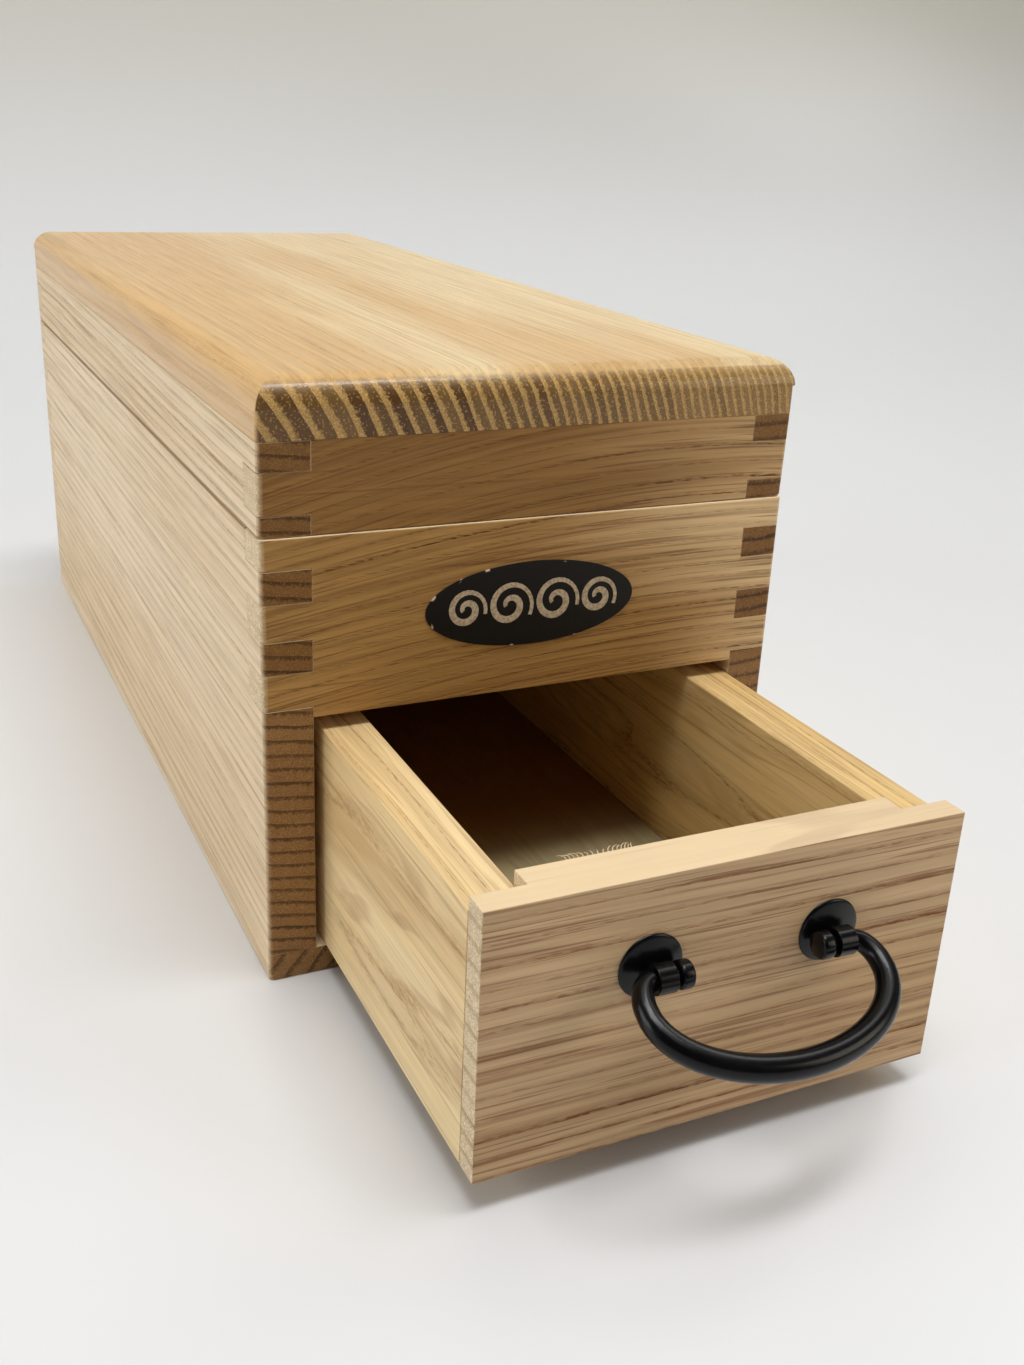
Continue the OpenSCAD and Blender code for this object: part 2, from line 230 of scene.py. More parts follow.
def end_grain(group, given, place, x, season, luck, turn_of_year, streaks):
    """The colour of a face sawn across the grain: pale porous bands with dots, dark dense ones with crumbs."""
    def shaded(name, shade):
        return blend_colours(group, 1.0, given[name], shade, "MULTIPLY")
    dots = ramp(group, noise(group, place, (3300, 3300, 3300), 1.0), 0.42, 0.62)
    pale = blend_colours(group, dots, shaded("End Pale", (0.72, 0.67, 0.59, 1)), given["End Pale"])
    dark = blend_colours(group, ramp(group, streaks, 0.35, 0.65), given["End Dark"],
                         shaded("End Dark", (0.78, 0.74, 0.68, 1)))
    torn = number(group, "SUBTRACT", noise(group, place, (1500, 1500, 300), 1.0), 0.5)
    ragged = number(group, "MULTIPLY_ADD", torn, 0.5, season)
    ragged_end = number(group, "ADD", given["Late Start"], 0.22)
    dense = number(group, "SUBTRACT", ramp(group, ragged, given["Late Start"], ragged_end), turn_of_year,
                   clamp=True)
    crumbs = ramp(group, noise(group, place, (2200, 2200, 2200), 0.0), 0.62, 0.70, 0.0, 0.45)
    dense = number(group, "MULTIPLY", dense, number(group, "SUBTRACT", ramp(group, luck, 0, 1, 0.78, 1.0), crumbs))
    beside = number(group, "MULTIPLY", number(group, "SUBTRACT", x, given["Fade Centre"]), given["Fade Side"])
    return blend_colours(group, number(group, "MULTIPLY", dense, ramp(group, beside, -0.2, 0.05, 0.6, 1.0)),
                         pale, dark)


def cloudy(group, place, colour):
    """A colour made slightly lighter and darker along the grain."""
    shade = ramp(group, noise(group, place, (700, 700, 30), 3.0, 0.65), 0.25, 0.75, 0.91, 1.08)
    grey = group.nodes.new("ShaderNodeCombineColor")
    for socket in grey.inputs:
        group.links.new(shade, socket)
    return blend_colours(group, 1.0, colour, grey.outputs[0], "MULTIPLY")


def timber_group():
    """Sawn ring-porous wood round a pith on the local Z axis: ring lines, pores, fibres and end grain."""
    white = (1, 1, 1, 1)
    group, start, made = new_group(
        "sawn_timber",
        [("Place", VECTOR, (0, 0, 0)), ("End Grain", FLOAT, 0.0),
         ("Ring Pitch", FLOAT, 0.003), ("Ring Radius", FLOAT, 0.15), ("Crowding", FLOAT, 1.0),
         ("Wander", FLOAT, 0.004), ("Bow", FLOAT, 0.0), ("Line Width", FLOAT, 0.30), ("Late Start", FLOAT, 0.62),
         ("Line Depth", FLOAT, 0.7), ("Pore Depth", FLOAT, 0.6), ("Streaks", FLOAT, 0.3), ("Wobble", FLOAT, 0.16),
         ("Fade", FLOAT, 0.0), ("Fade Side", FLOAT, 0.0), ("Fade Centre", FLOAT, 0.0),
         ("Pale", COLOUR, white), ("Warm", COLOUR, white), ("Line", COLOUR, white),
         ("End Pale", COLOUR, white), ("End Dark", COLOUR, white)],
        [("Colour", COLOUR), ("Roughness", FLOAT), ("Height", FLOAT)])
    given = start.outputs
    place = given["Place"]
    split = group.nodes.new("ShaderNodeSeparateXYZ")
    group.links.new(place, split.inputs[0])
    x, y, along = split.outputs
    radius, season, luck = grow_rings(group, given, place, x, y, along)
    bands = ring_bands(group, given, season, luck)
    _, early, late, turn_of_year = bands

    pores = ramp(group, noise(group, place, (2900, 2900, 380), 1.0), 0.43, 0.60)
    fibre = noise(group, place, (1250, 1250, 13), 2.0)
    follow = group.nodes.new("ShaderNodeCombineXYZ")
    group.links.new(radius, follow.inputs[0])
    group.links.new(along, follow.inputs[2])
    streaks = noise(group, follow.outputs[0], (620, 1, 8), 3.0, 0.6)
    hairs = noise(group, follow.outputs[0], (1700, 1, 24), 1.0)

    face = long_grain(group, given, place, x, along, luck, bands, (pores, fibre, streaks, hairs))
    end = end_grain(group, given, place, x, season, luck, turn_of_year, streaks)
    colour = cloudy(group, place, blend_colours(group, given["End Grain"], face, end))
    group.links.new(colour, made.inputs["Colour"])
    rough = number(group, "MULTIPLY_ADD", early, 0.14, ramp(group, fibre, 0.2, 0.8, 0.40, 0.52))
    group.links.new(rough, made.inputs["Roughness"])
    pits = number(group, "MULTIPLY", early, pores)
    height = number(group, "SUBTRACT", number(group, "MULTIPLY", fibre, 0.35), pits)
    height = number(group, "MULTIPLY_ADD", late, 0.25, height)
    group.links.new(height, made.inputs["Height"])
    return group


def paint_seam_shade(tree, colour, normal, height):
    """Painted shade: a brown line on the left and right faces where two boards meet at a height, in place of the shadow
    in the gap.
    """
    level, _ = object_place(tree, (0, 0, height))
    off = number(tree, "ABSOLUTE", vector(tree, "DOT_PRODUCT", level, (0, 0, 1)))
    sideways = number(tree, "ABSOLUTE", vector(tree, "DOT_PRODUCT", normal, (1, 0, 0)))
    dark = number(tree, "MULTIPLY", ramp(tree, off, 0.25 * MM, 0.70 * MM, 0.8, 0.0), ramp(tree, sideways, 0.3, 0.6))
    return blend_colours(tree, dark, colour, tone(136, 94, 54))


def darken_ends(tree, colour, across, height):
    """Darker end grain above a height."""
    level, _ = object_place(tree, (0, 0, height))
    over = ramp(tree, vector(tree, "DOT_PRODUCT", level, (0, 0, 1)), 0.0, 6 * MM)
    over = number(tree, "MULTIPLY", over, ramp(tree, across, 0.8, 0.98))
    return blend_colours(tree, over, colour, (0.76, 0.70, 0.56, 1), "MULTIPLY")


def paint_back_shade(tree, colour, start, end):
    """Painted shade: the wood browned more and more from start to end along Y, for the drawer floor lying in shade
    further back.
    """
    here, _ = object_place(tree)
    brown = ramp(tree, vector(tree, "DOT_PRODUCT", here, (0, 1, 0)), start, end, 0.0, 0.8)
    return blend_colours(tree, brown, colour, tone(166, 112, 58))


GRAIN_TURN = {"x": (0, math.radians(90), 0), "y": (math.radians(-90), 0, 0)}
GRAIN_AXIS = {"x": (1, 0, 0), "y": (0, 1, 0)}


def timber(name, grain, pith, colours, lean=0.0, gloss=0.0, top_light=0.0, seam=None, darker_ends=None, shade_span=None,
           **values):
    """One board's wood. Grain is its axis, pith a point on the tree's middle line, lean the slope of the grain and
    top_light how strongly its upward faces are blended to pale cream, painted light from above. Seam and darker_ends
    are heights, the seam's with a painted shade line, and shade_span is where a painted brown shade starts and ends.
    The rest are inputs of the sawn timber group."""
    material, tree, shader = new_material(name)
    turn = list(GRAIN_TURN[grain])
    turn[1 if grain == "x" else 0] += lean
    place, normal = object_place(tree, pith, turn)
    wood = tree.nodes.new("ShaderNodeGroup")
    wood.node_tree = WOOD
    tree.links.new(place, wood.inputs["Place"])
    across = number(tree, "ABSOLUTE", vector(tree, "DOT_PRODUCT", normal, GRAIN_AXIS[grain]))
    # How much a face shows end grain. Partly the real change of cut as the face turns across the grain, partly painted
    # light from above, which keeps the upward-tilted parts of roundovers paler.
    turned = number(tree, "MULTIPLY", ramp(tree, across, 0.02, 0.40), ramp(tree, across, 0.40, 0.98, 0.34, 1.0))
    tree.links.new(turned, wood.inputs["End Grain"])
    for label, value in colours.items():
        wood.inputs[label].default_value = value
    for label, value in values.items():
        wood.inputs[label.replace("_", " ").title()].default_value = value
    # Painted light from above: upward faces blended toward pale cream.
    up = number(tree, "MULTIPLY", top_light, ramp(tree, vector(tree, "DOT_PRODUCT", normal, (0, 0, 1)), 0.6, 0.95))
    colour = blend_colours(tree, up, wood.outputs["Colour"], tone(246, 226, 188))
    # Painted shade along the seam.
    if seam is not None:
        colour = paint_seam_shade(tree, colour, normal, seam)
    if darker_ends is not None:
        colour = darken_ends(tree, colour, across, darker_ends)
    # Painted shade deeper in the drawer.
    if shade_span is not None:
        colour = paint_back_shade(tree, colour, *shade_span)
    tree.links.new(colour, shader.inputs["Base Color"])
    tree.links.new(wood.outputs["Roughness"], shader.inputs["Roughness"])
    shader.inputs["Specular IOR Level"].default_value = 0.25
    shader.inputs["Coat Weight"].default_value = gloss
    shader.inputs["Coat Roughness"].default_value = 0.16
    bump(tree, shader, wood.outputs["Height"], 0.09 * MM, 0.6)
    return material


WOOD = timber_group()

TOP_COLOURS = {"Pale": tone(243, 220, 172), "Warm": tone(224, 184, 124), "Line": tone(178, 128, 68),
               "End Pale": tone(208, 170, 104), "End Dark": tone(92, 60, 24)}
SIDE_COLOURS = {"Pale": tone(238, 217, 184), "Warm": tone(229, 205, 167), "Line": tone(164, 122, 78),
                "End Pale": tone(164, 124, 76), "End Dark": tone(88, 60, 33)}
FRONT_COLOURS = {"Pale": tone(236, 204, 154), "Warm": tone(184, 142, 82), "Line": tone(104, 60, 22),
                 "End Pale": tone(236, 215, 180), "End Dark": tone(222, 198, 160)}
LID_FRONT_COLOURS = dict(FRONT_COLOURS, Pale=tone(220, 184, 132), Warm=tone(158, 118, 64))
DRAWER_COLOURS = {"Pale": tone(217, 185, 143), "Warm": tone(197, 162, 116), "Line": tone(126, 74, 34),
                  "End Pale": tone(232, 213, 180), "End Dark": tone(192, 164, 126)}
YELLOW_COLOURS = {"Pale": tone(240, 216, 168), "Warm": tone(230, 198, 142), "Line": tone(146, 98, 52),
                  "End Pale": tone(204, 172, 122), "End Dark": tone(146, 108, 66)}


# ---------------------------------------------------------------- shaping

def board_from(node):
    """A welded copy of a CAD board, with its flat faces whole."""
    bm = bmesh.new()
    bm.from_mesh(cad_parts[node].data)
    bmesh.ops.remove_doubles(bm, verts=bm.verts, dist=2e-6)
    bmesh.ops.dissolve_limit(bm, angle_limit=math.radians(0.5), verts=bm.verts, edges=bm.edges)
    return bm


def bevel(bm, edges, width, segments, clamp=True):
    bmesh.ops.bevel(bm, geom=edges, offset=width, offset_type="OFFSET", segments=segments, profile=0.5,
                    affect="EDGES", clamp_overlap=clamp, material=-1)


def made_verts(made):
    """The vertices among what an operator made."""
    return [v for v in made["geom"] if isinstance(v, bmesh.types.BMVert)]


def is_outer_corner(edge):
    a, b = (v.co for v in edge.verts)
    upright = abs(a.x - b.x) < TINY and abs(a.y - b.y) < TINY
    at_x = min(abs(a.x - case_low.x), abs(a.x - case_high.x)) < TINY
    at_y = min(abs(a.y - case_low.y), abs(a.y - case_high.y)) < TINY
    return upright and at_x and at_y


def is_sharp(edge, angle):
    return edge.is_manifold and edge.calc_face_angle() > math.radians(angle)


def round_corners(bm):
    bevel(bm, [e for e in bm.edges if is_outer_corner(e)], CORNER, 6)


def ease_edges(bm, width=0.12 * MM, segments=1, angle=50):
    bevel(bm, [e for e in bm.edges if is_sharp(e, angle) and e.is_convex], width, segments)


def make_piece(name, bm, material, body, slot_name, *nodes, smooth=35):
    mesh = bpy.data.meshes.new(name)
    bm.to_mesh(mesh)
    bm.free()
    for face in mesh.polygons:
        face.use_smooth = True
    mesh.set_sharp_from_angle(angle=math.radians(smooth))
    mesh.materials.append(material)
    piece = bpy.data.objects.new(name, mesh)
    bpy.context.scene.collection.objects.link(piece)
    even = piece.modifiers.new("even_faces", "WEIGHTED_NORMAL")
    even.keep_sharp = True
    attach(piece, body)
    if nodes:
        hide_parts(*nodes)
    return piece


def strand(points, thickness, roundness):
    """A rod through [x, y, z, share of the thickness] points, as a mesh."""
    curve = bpy.data.curves.new("strand", "CURVE")
    curve.dimensions = "3D"
    spline = curve.splines.new("POLY")
    spline.points.add(len(points) - 1)
    for point, (x, y, z, share) in zip(spline.points, points):
        point.co = (x, y, z, 1.0)
        point.radius = share
    curve.bevel_depth = thickness
    curve.bevel_resolution = roundness
    curve.use_fill_caps = True
    rod = bpy.data.objects.new("strand", curve)
    bpy.context.scene.collection.objects.link(rod)
    mesh = bpy.data.meshes.new_from_object(rod)
    bpy.data.objects.remove(rod)
    return mesh


def on_outside(point):
    """Whether a point lies on the case's left or right face, or on a corner rounded into it."""
    return min(point.x - case_low.x, case_high.x - point.x) < CORNER + TINY


def ease_rim(bm, height):
    """A wider chamfer along the left and right edges at one height."""
    rim = [e for e in bm.edges if is_sharp(e, 50)
           and all(abs(v.co.z - height) < TINY and on_outside(v.co) for v in e.verts)]
    bevel(bm, rim, RIM_CHAMFER, 2, clamp=False)


def lean_back(bm):
    """Leans the lid's front face back at its foot, so the case below stands a hair proud."""
    for v in bm.verts:
        if v.co.y < case_low.y + CORNER + 0.1 * MM:
            share = min(1.0, max(0.0, (LID_HEAD - v.co.z) / (LID_HEAD - LID_FOOT)))
            v.co.y += LID_LEAN * share


def board(node, material, body, slot_name, rounded=False, edge=0.12 * MM, segments=1, rim=None, leaning=False):
    bm = board_from(node)
    if rounded:
        round_corners(bm)
    if leaning:
        lean_back(bm)
    if rim:
        ease_rim(bm, rim)
    ease_edges(bm, edge, segments)
    return make_piece(node + "_wood", bm, material, body, slot_name, node)


def make_case():
    left = timber("ash_left_side", "y", (-0.075, 0.0, -0.12), SIDE_COLOURS, lean=0.02,
                  ring_pitch=0.0031, line_depth=0.62, wander=0.006, streaks=0.30, top_light=0.9, seam=CASE_TOP,
                  darker_ends=DARKER_ENDS)
    right = timber("ash_right_side", "y", (0.04, 0.02, 0.26), SIDE_COLOURS, lean=-0.015,
                   ring_pitch=0.0034, line_depth=0.62, wander=0.007, streaks=0.30, top_light=0.9, seam=CASE_TOP,
                   darker_ends=DARKER_ENDS)
    front = timber("ash_front", "x", (0.045, -0.13, -0.08), FRONT_COLOURS, bow=-0.9, top_light=0.9,
                   ring_pitch=0.0029, line_depth=0.95, wander=0.006, fade=-5.0, line_width=0.34,
                   streaks=0.52)
    back = timber("ash_back", "x", (-0.03, 0.16, -0.07), FRONT_COLOURS, lean=0.03, bow=-0.5, top_light=0.9,
                  ring_pitch=0.0032, line_depth=0.9, wander=0.008, line_width=0.34)
    base = timber("ash_base", "y", (0.02, 0.0, -0.05), SIDE_COLOURS, ring_pitch=0.004, wander=0.01)
    rail = timber("ash_rail", "y", (0.2, 0.0, 0.15), YELLOW_COLOURS, ring_pitch=0.003)
    for node, wood in (("side_board_left", left), ("side_board_right", right), ("front_board", front),
                       ("back_board", back)):
        board(node, wood, "case", "ash", rounded=True, rim=CASE_TOP)
    board("bottom_board", base, "case", "ash", rounded=True, edge=0.3 * MM, segments=2)
    board("plane_rail_left", rail, "case", "ash", edge=0.4 * MM, segments=2)
    board("plane_rail_right", rail, "case", "ash", edge=0.4 * MM, segments=2)


def make_lid():
    top = timber("ash_top", "y", (-0.130, 0.0, 0.075), TOP_COLOURS, gloss=0.45,
                 ring_pitch=0.0043, ring_radius=0.086, crowding=2.1, wander=0.0035, wobble=0.30,
                 line_depth=0.5, line_width=0.42, late_start=0.22, fade_side=-3.0, fade_centre=0.13)
    left = timber("ash_lid_left", "y", (-0.07, 0.03, -0.04), SIDE_COLOURS, lean=0.02,
                  ring_pitch=0.0030, line_depth=0.85, seam=LID_FOOT, darker_ends=DARKER_ENDS)
    right = timber("ash_lid_right", "y", (0.05, 0.0, 0.25), SIDE_COLOURS, ring_pitch=0.0033, line_depth=0.7,
                   seam=LID_FOOT, darker_ends=DARKER_ENDS)
    front = timber("ash_lid_front", "x", (0.04, -0.135, -0.05), LID_FRONT_COLOURS, bow=-1.5,
                   ring_pitch=0.0036, line_depth=0.95, wander=0.005, fade=-4.5, line_width=0.32,
                   streaks=0.52)
    back = timber("ash_lid_back", "x", (0.0, 0.17, -0.02), FRONT_COLOURS, bow=-0.8,
                  ring_pitch=0.0040, line_depth=0.7)
    board("lid_top", top, "lid", "ash_warm", rounded=True)
    for node, wood in (("lid_side_left", left), ("lid_side_right", right), ("lid_front", front), ("lid_back", back)):
        board(node, wood, "lid", "ash", rounded=True, rim=LID_FOOT, leaning=True)


def make_drawer():
    front = timber("ash_drawer_front", "x", (-0.02, -0.215, -0.14), DRAWER_COLOURS, lean=0.01, top_light=0.55,
                   ring_pitch=0.0042, line_depth=1.0, wander=0.005, streaks=0.58, line_width=0.46,
                   pore_depth=0.45)
    left = timber("ash_drawer_left", "y", (-0.14, -0.1, 0.02), YELLOW_COLOURS, ring_pitch=0.0036,
                  line_depth=0.8, wander=0.014)
    # A darker, warmer copy of the yellow colours for the drawer's right side: painted shade for the shaded inside of
    # the drawer. Its bold ring lines are the board's own grain.
    inside_shade_colours = dict(YELLOW_COLOURS, Pale=tone(232, 202, 144), Warm=tone(216, 178, 112), Line=tone(132, 84, 36))
    right = timber("ash_drawer_right", "y", (0.14, -0.1, 0.03), inside_shade_colours, ring_pitch=0.0036,
                   line_depth=1.1, wander=0.026)
    back = timber("ash_drawer_back", "x", (0.0, 0.1, -0.05), YELLOW_COLOURS, ring_pitch=0.0036)
    panel_colours = {"Pale": tone(180, 170, 134), "Warm": tone(166, 154, 116), "Line": tone(136, 120, 84),
                     "End Pale": tone(196, 186, 160), "End Dark": tone(170, 156, 126)}
    # The panel browns towards the back: painted shade under the case's front board.
    panel = timber("thin_panel", "y", (0.01, 0.0, -0.25), panel_colours, ring_pitch=0.0025,
                   line_depth=0.35, wander=0.02, shade_span=(-0.146, -0.112))
    board("drawer_front", front, "drawer", "ash_streaked", edge=0.25 * MM, segments=2)
    board("drawer_side_left", left, "drawer", "ash", edge=0.2 * MM)
    board("drawer_side_right", right, "drawer", "ash", edge=0.2 * MM)
    board("drawer_back", back, "drawer", "ash", edge=0.2 * MM)
    board("drawer_panel", panel, "drawer", "panel_pale", edge=0.1 * MM)


def make_fibres():
    """Torn fibres left by the saw along the inner top edge of the drawer front."""
    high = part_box("drawer_front")[1]
    bm = bmesh.new()
    for i in range(FIBRES):
        luck = math.sin(12.9 * i + 4.1)
        x = (-27.0 + 0.8 * i + 0.5 * luck) * MM
        rise, reach = (0.25 + 0.35 * abs(luck)) * MM, (0.5 + 0.7 * abs(math.cos(7.3 * i))) * MM
        points = [(x + 1.4 * reach * t * t * luck, high.y - 0.15 * MM + reach * t,
                   high.z - 0.1 * MM + rise * math.sin(2.2 * t), 1.0 - 0.7 * t) for t in (0.0, 0.4, 0.75, 1.0)]
        bm.from_mesh(strand(points, 0.12 * MM, 1))
    wood = timber("torn_fibre", "y", (0.1, 0, 0.1), DRAWER_COLOURS, top_light=0.8)
    make_piece("torn_fibres", bm, wood, "drawer", "ash_streaked")


# ---------------------------------------------------------------- ironwork

def black_iron():
    material, tree, shader = new_material("black_iron")
    place, _ = object_place(tree)
    grain = noise(tree, place, (900, 900, 900), 3.0, 0.6)
    worn = ramp(tree, noise(tree, place, (180, 180, 180), 2.0), 0.35, 0.7)
    tree.links.new(blend_colours(tree, worn, (0.0020, 0.0022, 0.0027, 1), (0.0034, 0.0037, 0.0045, 1)),
                   shader.inputs["Base Color"])
    tree.links.new(ramp(tree, grain, 0.3, 0.7, 0.21, 0.26), shader.inputs["Roughness"])
    shader.inputs["Specular IOR Level"].default_value = 0.26
    bump(tree, shader, grain, 0.012 * MM, 0.25)
    return material


IRON = black_iron()


def handle_places():
    """Where the middle of the handle meets the drawer front, and where its bail turns."""
    (left_low, left_high), (right_low, right_high) = (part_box("rosette_" + side) for side in ("left", "right"))
    middle = (left_low + left_high + right_low + right_high) / 4
    turn = Matrix.Rotation(HANDLE_TILT, 4, "Y")
    on_front = Matrix.Translation((middle.x, left_high.y, middle.z)) @ turn
    at_pivot = Matrix.Translation((middle.x, left_high.y - PIVOT_OUT, middle.z)) @ turn
    return on_front, at_pivot @ Matrix.Rotation(-BAIL_ANGLE, 4, "X")


HANDLE_PLACE, BAIL_PLACE = handle_places()


def spun(profile, steps=64):
    """Turns a line of [radius, height] points, in millimetres, round the Z axis."""
    bm = bmesh.new()
    points = [bm.verts.new((r * MM, 0, z * MM)) for r, z in profile]
    for a, b in zip(points, points[1:]):
        bm.edges.new((a, b))
    bmesh.ops.spin(bm, geom=bm.verts[:] + bm.edges[:], cent=(0, 0, 0), axis=(0, 0, 1), dvec=(0, 0, 0),
                   angle=2 * math.pi, steps=steps, use_merge=True, use_duplicate=False)
    bmesh.ops.remove_doubles(bm, verts=bm.verts, dist=1e-6)
    bmesh.ops.recalc_face_normals(bm, faces=bm.faces)
    return bm


def make_rosette(side):
    """A shallow dome with a rolled rim, standing out along -Y."""
    profile = [(0, 1.3), (1.5, 1.26), (3.0, 1.11), (4.4, 0.87), (5.5, 0.62), (6.0, 0.48), (6.22, 0.35), (6.3, 0.18),
               (6.22, 0.0), (0, 0.0)]
    bm = spun(profile)
    way = -1 if side == "left" else 1
    bm.transform(HANDLE_PLACE @ Matrix.Translation((way * EYE_PITCH / 2, 0, 0))
                 @ Matrix.Rotation(math.radians(90), 4, "X"))
    make_piece("rosette_" + side + "_iron", bm, IRON, "drawer", "black_iron", "rosette_" + side)


def make_eye_pin(side):
    bm = board_from("eye_pin_" + side)
    ease_edges(bm, 0.3 * MM, 3, angle=60)
    make_piece("eye_pin_" + side + "_iron", bm, IRON, "drawer", "black_iron", "eye_pin_" + side, smooth=40)


def bail_line():
    """[x, depth] of the middle line: in from one eye round a small bend, the long bow, and the other bend."""
    half, shoulder, bow = 24.1 * MM, 5.6 * MM, 14.4 * MM
    turn = half - EYE_PITCH / 2 - EYE_WIDTH / 2 - EYE_GAP
    right = [(half - turn * (1 - math.sin(w)), shoulder * (1 - math.cos(w)))
             for w in [math.radians(9 * i) for i in range(10)]]
    across = [(half * math.cos(v), shoulder + bow * math.sin(v)) for v in [math.radians(5 * i) for i in range(1, 36)]]
    left = [(-x, depth) for x, depth in reversed(right)]
    return right + across + left


def button_end(way):
    """A journal through one eye with a rounded button beyond it."""
    profile = [(0, -0.9), (1.4, -0.9), (1.4, 4.6), (1.9, 4.75), (2.35, 4.9), (2.55, 5.1), (2.6, 5.4), (2.6, 6.7),
               (2.5, 7.05), (2.2, 7.28), (0, 7.35)]
    end = spun(profile, 48)
    outer = Matrix.Translation((way * (EYE_PITCH / 2 + EYE_WIDTH / 2 + EYE_GAP), 0, 0))
    end.transform(BAIL_PLACE @ outer @ Matrix.Rotation(math.radians(-90 * way), 4, "Y"))
    mesh = bpy.data.meshes.new("button_end")
    end.to_mesh(mesh)
    end.free()
    return mesh


def make_bail():
    line = bail_line()
    deepest = max(depth for _, depth in line)
    points = [(*(BAIL_PLACE @ Vector((x, 0, -depth))), 1.85 + 0.65 * (depth / deepest) ** 0.8) for x, depth in line]
    bm = bmesh.new()
    bm.from_mesh(strand(points, MM, 8))
    bmesh.ops.remove_doubles(bm, verts=bm.verts, dist=1e-6)
    for way in (-1, 1):
        bm.from_mesh(button_end(way))
    make_piece("bail_iron", bm, IRON, "handle", "black_iron", "bail", smooth=40)


# ---------------------------------------------------------------- label

def label_black():
    low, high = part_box("label")
    centre, half = (low + high) / 2, (high - low) / 2
    material, tree, shader = new_material("label_black")
    place, _ = object_place(tree, centre)
    flat = vector(tree, "DIVIDE", place, (half.x, 1.0, half.z))
    flat = vector(tree, "MULTIPLY", flat, (1, 0, 1))
    length = tree.nodes.new("ShaderNodeVectorMath")
    length.operation = "LENGTH"
    tree.links.new(flat, length.inputs[0])
    near_rim = ramp(tree, length.outputs["Value"], 0.955, 0.985)
    specks = noise(tree, place, (900, 900, 900), 1.0)
    nick = number(tree, "MULTIPLY", near_rim, ramp(tree, noise(tree, place, (330, 330, 330), 0.0), 0.70, 0.73))
    ink = blend_colours(tree, ramp(tree, specks, 0.62, 0.8), (0.005, 0.0042, 0.0038, 1), (0.010, 0.0088, 0.0078, 1))
    tree.links.new(blend_colours(tree, nick, ink, tone(214, 196, 170)), shader.inputs["Base Color"])
    tree.links.new(ramp(tree, specks, 0.3, 0.7, 0.42, 0.5), shader.inputs["Roughness"])
    shader.inputs["Specular IOR Level"].default_value = 0.25
    bump(tree, shader, specks, 0.02 * MM, 0.3)
    return material


def label_cream():
    material, tree, shader = new_material("label_cream")
    place, _ = object_place(tree)
    print_grain = noise(tree, place, (1500, 1500, 1500), 2.0)
    tree.links.new(blend_colours(tree, ramp(tree, print_grain, 0.4, 0.62), tone(206, 188, 160), tone(176, 156, 128)),
                   shader.inputs["Base Color"])
    tree.links.new(ramp(tree, print_grain, 0.3, 0.7, 0.45, 0.6), shader.inputs["Roughness"])
    bump(tree, shader, print_grain, 0.01 * MM, 0.3)
    return material


def make_label():
    low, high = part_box("label")
    centre, half = (low + high) / 2, (high - low) / 2
    bm = bmesh.new()
    bmesh.ops.create_circle(bm, cap_ends=True, segments=120, radius=1.0)
    bm.transform(Matrix.Translation((centre.x, high.y, centre.z)) @ Matrix.Rotation(math.radians(90), 4, "X")
                 @ Matrix.Diagonal((half.x, half.z, 1, 1)))
    made = bmesh.ops.extrude_face_region(bm, geom=bm.faces[:])
    bmesh.ops.translate(bm, verts=made_verts(made), vec=(0, low.y - high.y, 0))
    bmesh.ops.recalc_face_normals(bm, faces=bm.faces)
    rim = [e for e in bm.edges if all(abs(v.co.y - low.y) < 1e-6 for v in e.verts)]
    bevel(bm, rim, 0.08 * MM, 2)
    make_piece("label_oval", bm, label_black(), "case", "label_black", "label")


def ribbon(points, width, thickness, place):
    """A flat printed stroke through [x, z, share of the width] points, laid on the label."""
    mesh = strand([(x, 0, z, share) for x, z, share in points], width / 2, 2)
    mesh.transform(place @ Matrix.Diagonal((1, thickness / width, 1, 1)))
    return mesh


def curl_points(size, turns=1.6, steps=40):
    """A wood shaving: a spiral that opens out into a tail."""
    points = []
    for i in range(steps + 1):
        t = i / steps
        angle = math.radians(200) - t * turns * 2 * math.pi
        r = size * (0.16 + 0.84 * t)
        points.append((r * math.cos(angle), r * math.sin(angle), 0.55 + 0.45 * math.sin(math.pi * min(1, t * 1.1))))
    return points


def make_label_print():
    """Four cream shavings in a row, a plain ornament."""
    low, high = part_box("label")
    centre = (low + high) / 2
    bm = bmesh.new()
    for x, size, lean in ((-15.2, 4.5, 0), (-5.3, 5.4, 12), (5.5, 5.4, 0), (15.6, 4.5, 12)):
        place = (Matrix.Translation((centre.x + x * MM, low.y, centre.z))
                 @ Matrix.Rotation(math.radians(lean), 4, "Y"))
        bm.from_mesh(ribbon(curl_points(size * MM), 1.55 * MM, 0.05 * MM, place))
    bmesh.ops.remove_doubles(bm, verts=bm.verts, dist=1e-7)
    make_piece("label_print", bm, label_cream(), "case", "label_black")


# ---------------------------------------------------------------- plane and nails

def oak():
    colours = {"Pale": tone(208, 176, 132), "Warm": tone(196, 158, 112), "Line": tone(160, 118, 76),
               "End Pale": tone(190, 156, 112), "End Dark": tone(150, 112, 72)}
    return timber("white_oak", "y", (0.02, 0.0, 0.26), colours, gloss=0.15, ring_pitch=0.0024, wander=0.006,
                  line_depth=0.5)


